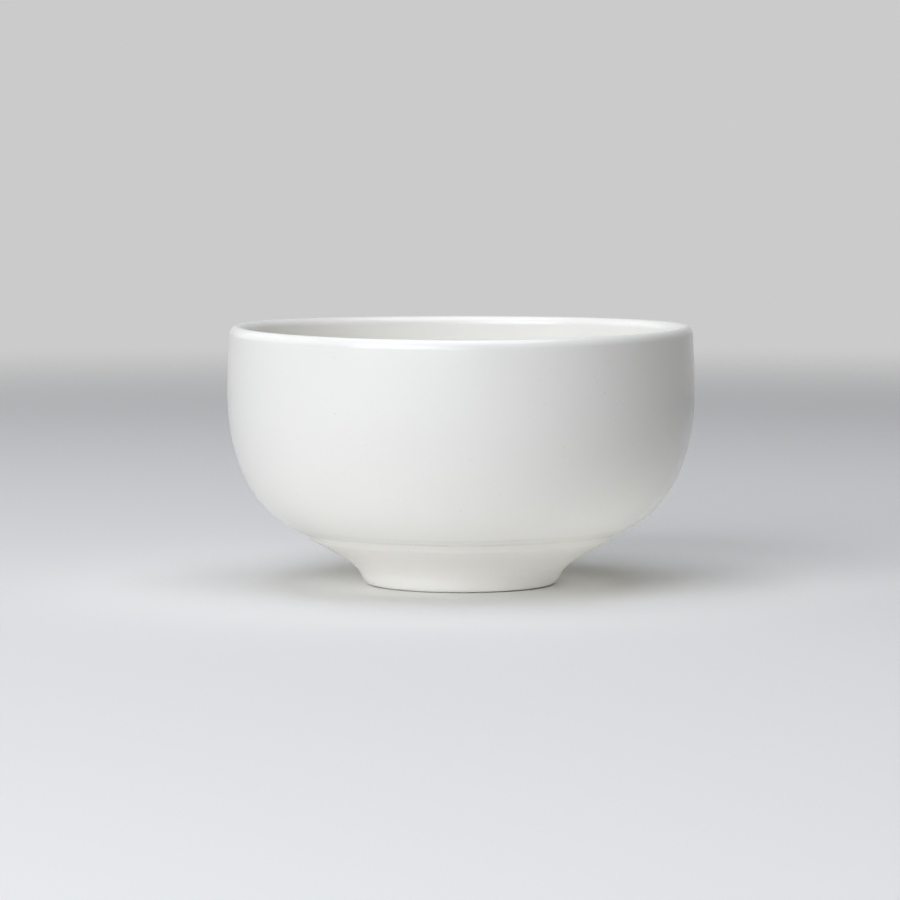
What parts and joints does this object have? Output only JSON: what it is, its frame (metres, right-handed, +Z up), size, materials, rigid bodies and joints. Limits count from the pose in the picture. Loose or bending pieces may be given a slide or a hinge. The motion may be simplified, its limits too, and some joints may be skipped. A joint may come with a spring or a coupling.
{
  "type": "footed bowl",
  "caption": "Round white glazed china bowl with a thick rounded rim, an upright wall and a flared foot ring, for serving food.",
  "frame": {"origin": "on the axis of the bowl, in the plane of the standing ring", "axes": "+Z up along the axis of the bowl; X and Y are free, because the bowl is round"},
  "size_m": [0.127, 0.127, 0.07],
  "materials": {
    "glazed_china": "white vitrified china under a clear gloss glaze",
    "glazed_slip": "white slip under the same clear glaze, a little deeper where the glaze pools"
  },
  "bodies": {
    "root": {"bowl_body": "glazed_china", "foot_ring": "glazed_china", "slip_joint": "glazed_slip"}
  },
  "joints": []
}
